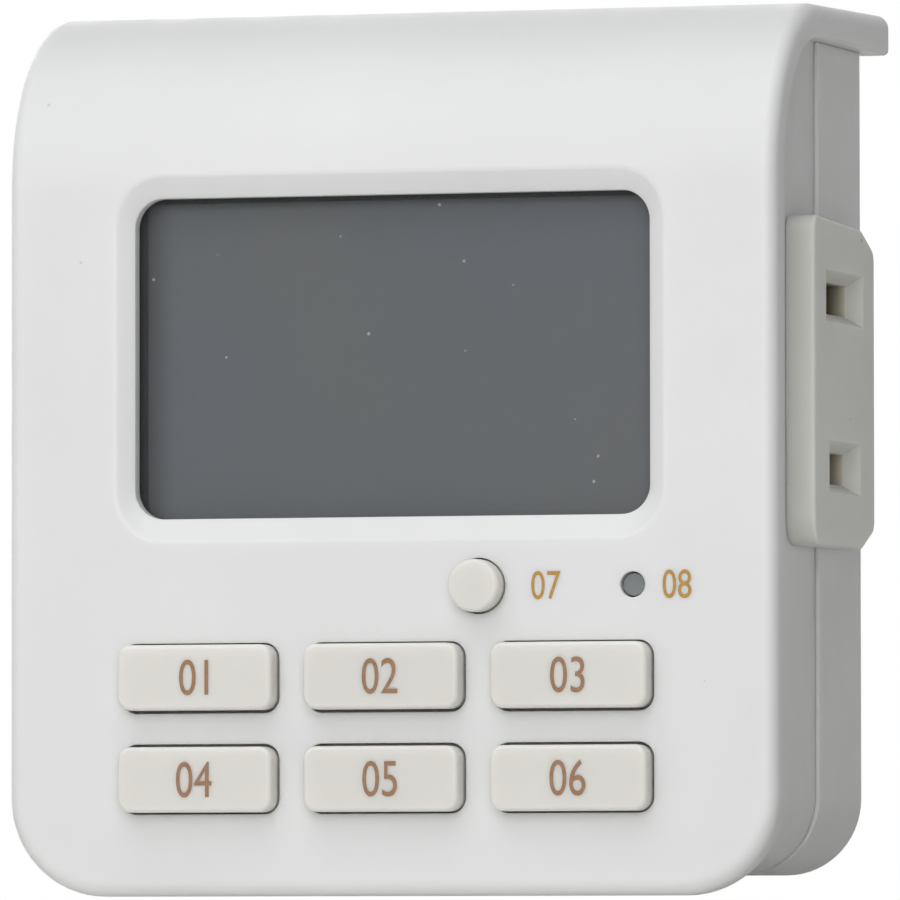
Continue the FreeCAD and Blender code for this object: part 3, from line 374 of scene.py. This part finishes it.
def node_materials():
    """Finish of each of the record's material slots."""
    case = moulded_plastic("case_plastic", srgb(223, 224, 224), srgb(220, 221, 221),
                           rough=0.5, speck=srgb(204, 203, 198), scatter=0.8)
    # Outlet plastic, with painted shade inside its two slots
    outlet = moulded_plastic("outlet_plastic", srgb(220, 221, 216), srgb(215, 216, 210),
                             rough=0.48, grain=0.12, speck=srgb(172, 168, 156), specked=0.9,
                             scatter=0.8, painted_shade=paint_slot_shade)
    key = moulded_plastic("key_plastic", srgb(219, 217, 212), srgb(215, 213, 208),
                          rough=0.48, grain=0.08, scatter=0.8)
    return {
        "case_white": case,
        "outlet_white": outlet,
        "key_white": key,
        "reset_grey": moulded_plastic("reset_plastic", srgb(112, 116, 116), srgb(104, 108, 108)),
        "window_clear": clear_lens(),
        "lcd_grey": lcd_film(),
        "frame_black": moulded_plastic("frame_plastic", srgb(38, 38, 40), srgb(30, 30, 32)),
        "elastomer": moulded_plastic("strip_rubber", srgb(120, 70, 70), srgb(96, 58, 60),
                                     rough=0.7),
        "silicone": moulded_plastic("mat_silicone", srgb(96, 99, 98), srgb(88, 91, 90),
                                    rough=0.6),
        "board_green": laminate(),
        "screw_steel": metal("zinc_screw", srgb(190, 190, 186), srgb(160, 160, 158), rough=0.32),
        "tin_plate": metal("tin_plate", srgb(200, 200, 196), srgb(176, 176, 172), rough=0.3),
        "chip_black": moulded_plastic("epoxy_black", srgb(34, 34, 36), srgb(26, 26, 28),
                                      rough=0.5),
        "socket_white": moulded_plastic("socket_nylon", srgb(228, 224, 208), srgb(220, 216, 198)),
        "wire_grey": moulded_plastic("wire_vinyl", srgb(150, 150, 150), srgb(140, 140, 140)),
        "relay_blue": moulded_plastic("relay_case", srgb(46, 84, 140), srgb(40, 74, 126)),
        "film_yellow": moulded_plastic("film_case", srgb(220, 178, 66), srgb(210, 166, 56),
                                       rough=0.3),
        "disc_blue": moulded_plastic("disc_coating", srgb(44, 88, 150), srgb(36, 76, 134),
                                     rough=0.3),
        "resistor_tan": moulded_plastic("resistor_coat", srgb(206, 178, 132), srgb(196, 166, 120)),
        "blade_brass": metal("brass_strip", srgb(206, 176, 108), srgb(178, 148, 84), rough=0.28),
        "holder_white": moulded_plastic("holder_nylon", srgb(216, 212, 200), srgb(206, 202, 188)),
    }


def dress_nodes():
    """Each CAD node gets the finish of its material slot."""
    materials = node_materials()
    slots = {part["node"]: part["material_slot"] for part in frame["record"]["subparts"]}
    for name, node in frame["nodes"].items():
        node.data.materials.clear()
        node.data.materials.append(materials[slots[name]])


def soft_domes():
    """Rubber domes of the keypad, copied as pieces of the housing in place of their CAD nodes."""
    for joint in frame["record"]["behaviour"]["joints"]:
        node = joint["name"].replace("press", "dome")
        piece = add_object(f"soft_{node}", frame["nodes"][node].data.copy())
        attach(piece, "housing")
        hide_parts(node)
        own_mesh(piece)


def printed_number(name, text, height, centre, material, body):
    """Thin raised print of a number, centred on a place of a surface that faces -Y."""
    curve = bpy.data.curves.new(name + "_outline", "FONT")
    curve.body = text
    curve.resolution_u = DIGIT_CURVE_STEPS
    outline = add_object(name + "_outline", curve)
    bpy.context.view_layer.update()
    depsgraph = bpy.context.evaluated_depsgraph_get()
    mesh = bpy.data.meshes.new_from_object(outline.evaluated_get(depsgraph))
    bpy.data.objects.remove(outline)
    xs = [vertex.co.x for vertex in mesh.vertices]
    ys = [vertex.co.y for vertex in mesh.vertices]
    scale = height / (max(ys) - min(ys))
    middle_x = (max(xs) + min(xs)) / 2
    middle_y = (max(ys) + min(ys)) / 2
    for vertex in mesh.vertices:
        x = (vertex.co.x - middle_x) * scale * DIGIT_NARROWING + centre[0]
        z = (vertex.co.y - middle_y) * scale + centre[2]
        vertex.co = Vector((x, centre[1] + PRINT_SUNK, z))
    mesh.materials.clear()
    mesh.materials.append(material)
    piece = add_object(name, mesh)
    thicken = piece.modifiers.new("thicken", "SOLIDIFY")
    thicken.thickness = PRINT_THICKNESS
    thicken.offset = 1.0
    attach(piece, body)


def front_centre(node):
    """Centre of a node's front, which faces -Y."""
    low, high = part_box(node)
    return ((low[0] + high[0]) / 2, low[1], (low[2] + high[2]) / 2)


def print_keys():
    """Numbers on the six rectangular keys."""
    bronze = ink("bronze_ink", srgb(155, 120, 92), srgb(143, 109, 82))
    rows = ("upper", "lower")
    columns = ("left", "middle", "right")
    places = [f"{row}_{column}" for row in rows for column in columns]
    for number, place in enumerate(places, start=1):
        key = f"key_{place}"
        printed_number(f"print_{place}", f"0{number}", KEY_PRINT_HEIGHT, front_centre(key),
                       bronze, body=key)


def print_face():
    """Numbers beside the round key and the reset hole."""
    gold = ink("gold_ink", srgb(184, 142, 70), srgb(172, 130, 58))
    face_y = front_centre("front_cover")[1]
    for name, node, text, shift in (("print_round", "round_key", "07", ROUND_PRINT_SHIFT),
                                    ("print_reset", "reset_plunger", "08", RESET_PRINT_SHIFT)):
        x, _, z = front_centre(node)
        printed_number(name, text, FACE_PRINT_HEIGHT, (x + shift, face_y, z),
                       gold, body="housing")


def direction(azimuth, elevation):
    """Unit vector from the object towards an azimuth and elevation in degrees."""
    turn = math.radians(azimuth)
    rise = math.radians(elevation)
    level = math.cos(rise)
    return Vector((math.sin(turn) * level, -math.cos(turn) * level, math.sin(rise)))


def add_camera():
    back = direction(CAMERA_AZIMUTH, CAMERA_ELEVATION)
    roll = math.radians(CAMERA_ROLL)
    level = Vector((0, 0, 1)).cross(back).normalized()
    upright = back.cross(level)
    right = level * math.cos(roll) + upright * math.sin(roll)
    up = back.cross(right)
    data = bpy.data.cameras.new("camera")
    data.sensor_width = SENSOR_WIDTH
    data.lens = SENSOR_WIDTH * FOCAL_PIXELS / IMAGE_PIXELS
    data.clip_start = CAMERA_CLIP_START
    camera = add_object("camera", data)
    turn = Matrix((right, up, back)).transposed().to_4x4()
    camera.matrix_world = Matrix.Translation(CAMERA_TARGET + back * CAMERA_DISTANCE) @ turn
    bpy.context.scene.camera = camera


def add_lamp(name, azimuth, elevation, distance, size, watts):
    """Square area lamp that faces the object from an azimuth and elevation in degrees."""
    data = bpy.data.lights.new(name, "AREA")
    data.size = size
    data.energy = watts
    lamp = add_object(name, data)
    way = direction(azimuth, elevation)
    lamp.location = CAMERA_TARGET + way * distance
    lamp.rotation_euler = way.to_track_quat("Z", "Y").to_euler()


def add_lamps():
    add_lamp("front_lamp", azimuth=9, elevation=8, distance=1.0, size=0.85, watts=7.15)
    add_lamp("left_lamp", azimuth=-40, elevation=10, distance=1.0, size=0.8, watts=0.9)
    add_lamp("top_lamp", azimuth=-10, elevation=62, distance=0.9, size=0.9, watts=4.8)
    add_lamp("back_lamp", azimuth=218, elevation=8, distance=1.0, size=1.0, watts=5.0)


def add_world():
    """Faint even light, and a white background that the camera, gloss and glass see."""
    world = bpy.data.worlds.new("studio")
    bpy.context.scene.world = world
    world.use_nodes = True
    nodes = world.node_tree.nodes
    links = world.node_tree.links
    ambient = nodes["Background"]
    backdrop = nodes.new("ShaderNodeBackground")
    for light, strength in ((ambient, AMBIENT_STRENGTH), (backdrop, BACKDROP_STRENGTH)):
        light.inputs["Color"].default_value = WHITE
        light.inputs["Strength"].default_value = strength
    path = nodes.new("ShaderNodeLightPath")
    seen = path.outputs["Is Camera Ray"]
    for way in ("Is Glossy Ray", "Is Transmission Ray"):
        either = nodes.new("ShaderNodeMath")
        either.operation = "MAXIMUM"
        links.new(seen, either.inputs[0])
        links.new(path.outputs[way], either.inputs[1])
        seen = either.outputs[0]
    mix = nodes.new("ShaderNodeMixShader")
    links.new(seen, mix.inputs[0])
    links.new(ambient.outputs[0], mix.inputs[1])
    links.new(backdrop.outputs[0], mix.inputs[2])
    links.new(mix.outputs[0], nodes["World Output"].inputs["Surface"])


def floor_paper():
    """Pale paper whose underside is clear."""
    nodes = Nodes("floor_paper")
    nodes.varied("Base Color", nodes.mix(nodes.noise(scale=8), FLOOR_COLOR, FLOOR_SHADE))
    nodes.even("Roughness", 0.8)
    clear = nodes.add("ShaderNodeBsdfTransparent")
    side = nodes.add("ShaderNodeNewGeometry")
    mix = nodes.add("ShaderNodeMixShader")
    nodes.link(side.outputs["Backfacing"], mix.inputs[0])
    nodes.link(nodes.shader.outputs[0], mix.inputs[1])
    nodes.link(clear.outputs[0], mix.inputs[2])
    nodes.link(mix.outputs[0], nodes.tree.nodes["Material Output"].inputs["Surface"])
    return nodes.material


def add_floor():
    """Pale floor below the object, which views from below see through."""
    half = FLOOR_SIZE / 2
    height = cad_bounds[0][2] - FLOOR_DROP
    corners = [(-half, -half, height), (half, -half, height), (half, half, height),
               (-half, half, height)]
    mesh = bpy.data.meshes.new("floor")
    mesh.from_pydata(corners, [], [(0, 1, 2, 3)])
    mesh.materials.append(floor_paper())
    floor = add_object("floor", mesh)


bpy.context.scene.view_settings.view_transform = "Standard"
add_camera()
dress_nodes()
soft_domes()
print_keys()
print_face()
add_lamps()
add_world()
add_floor()
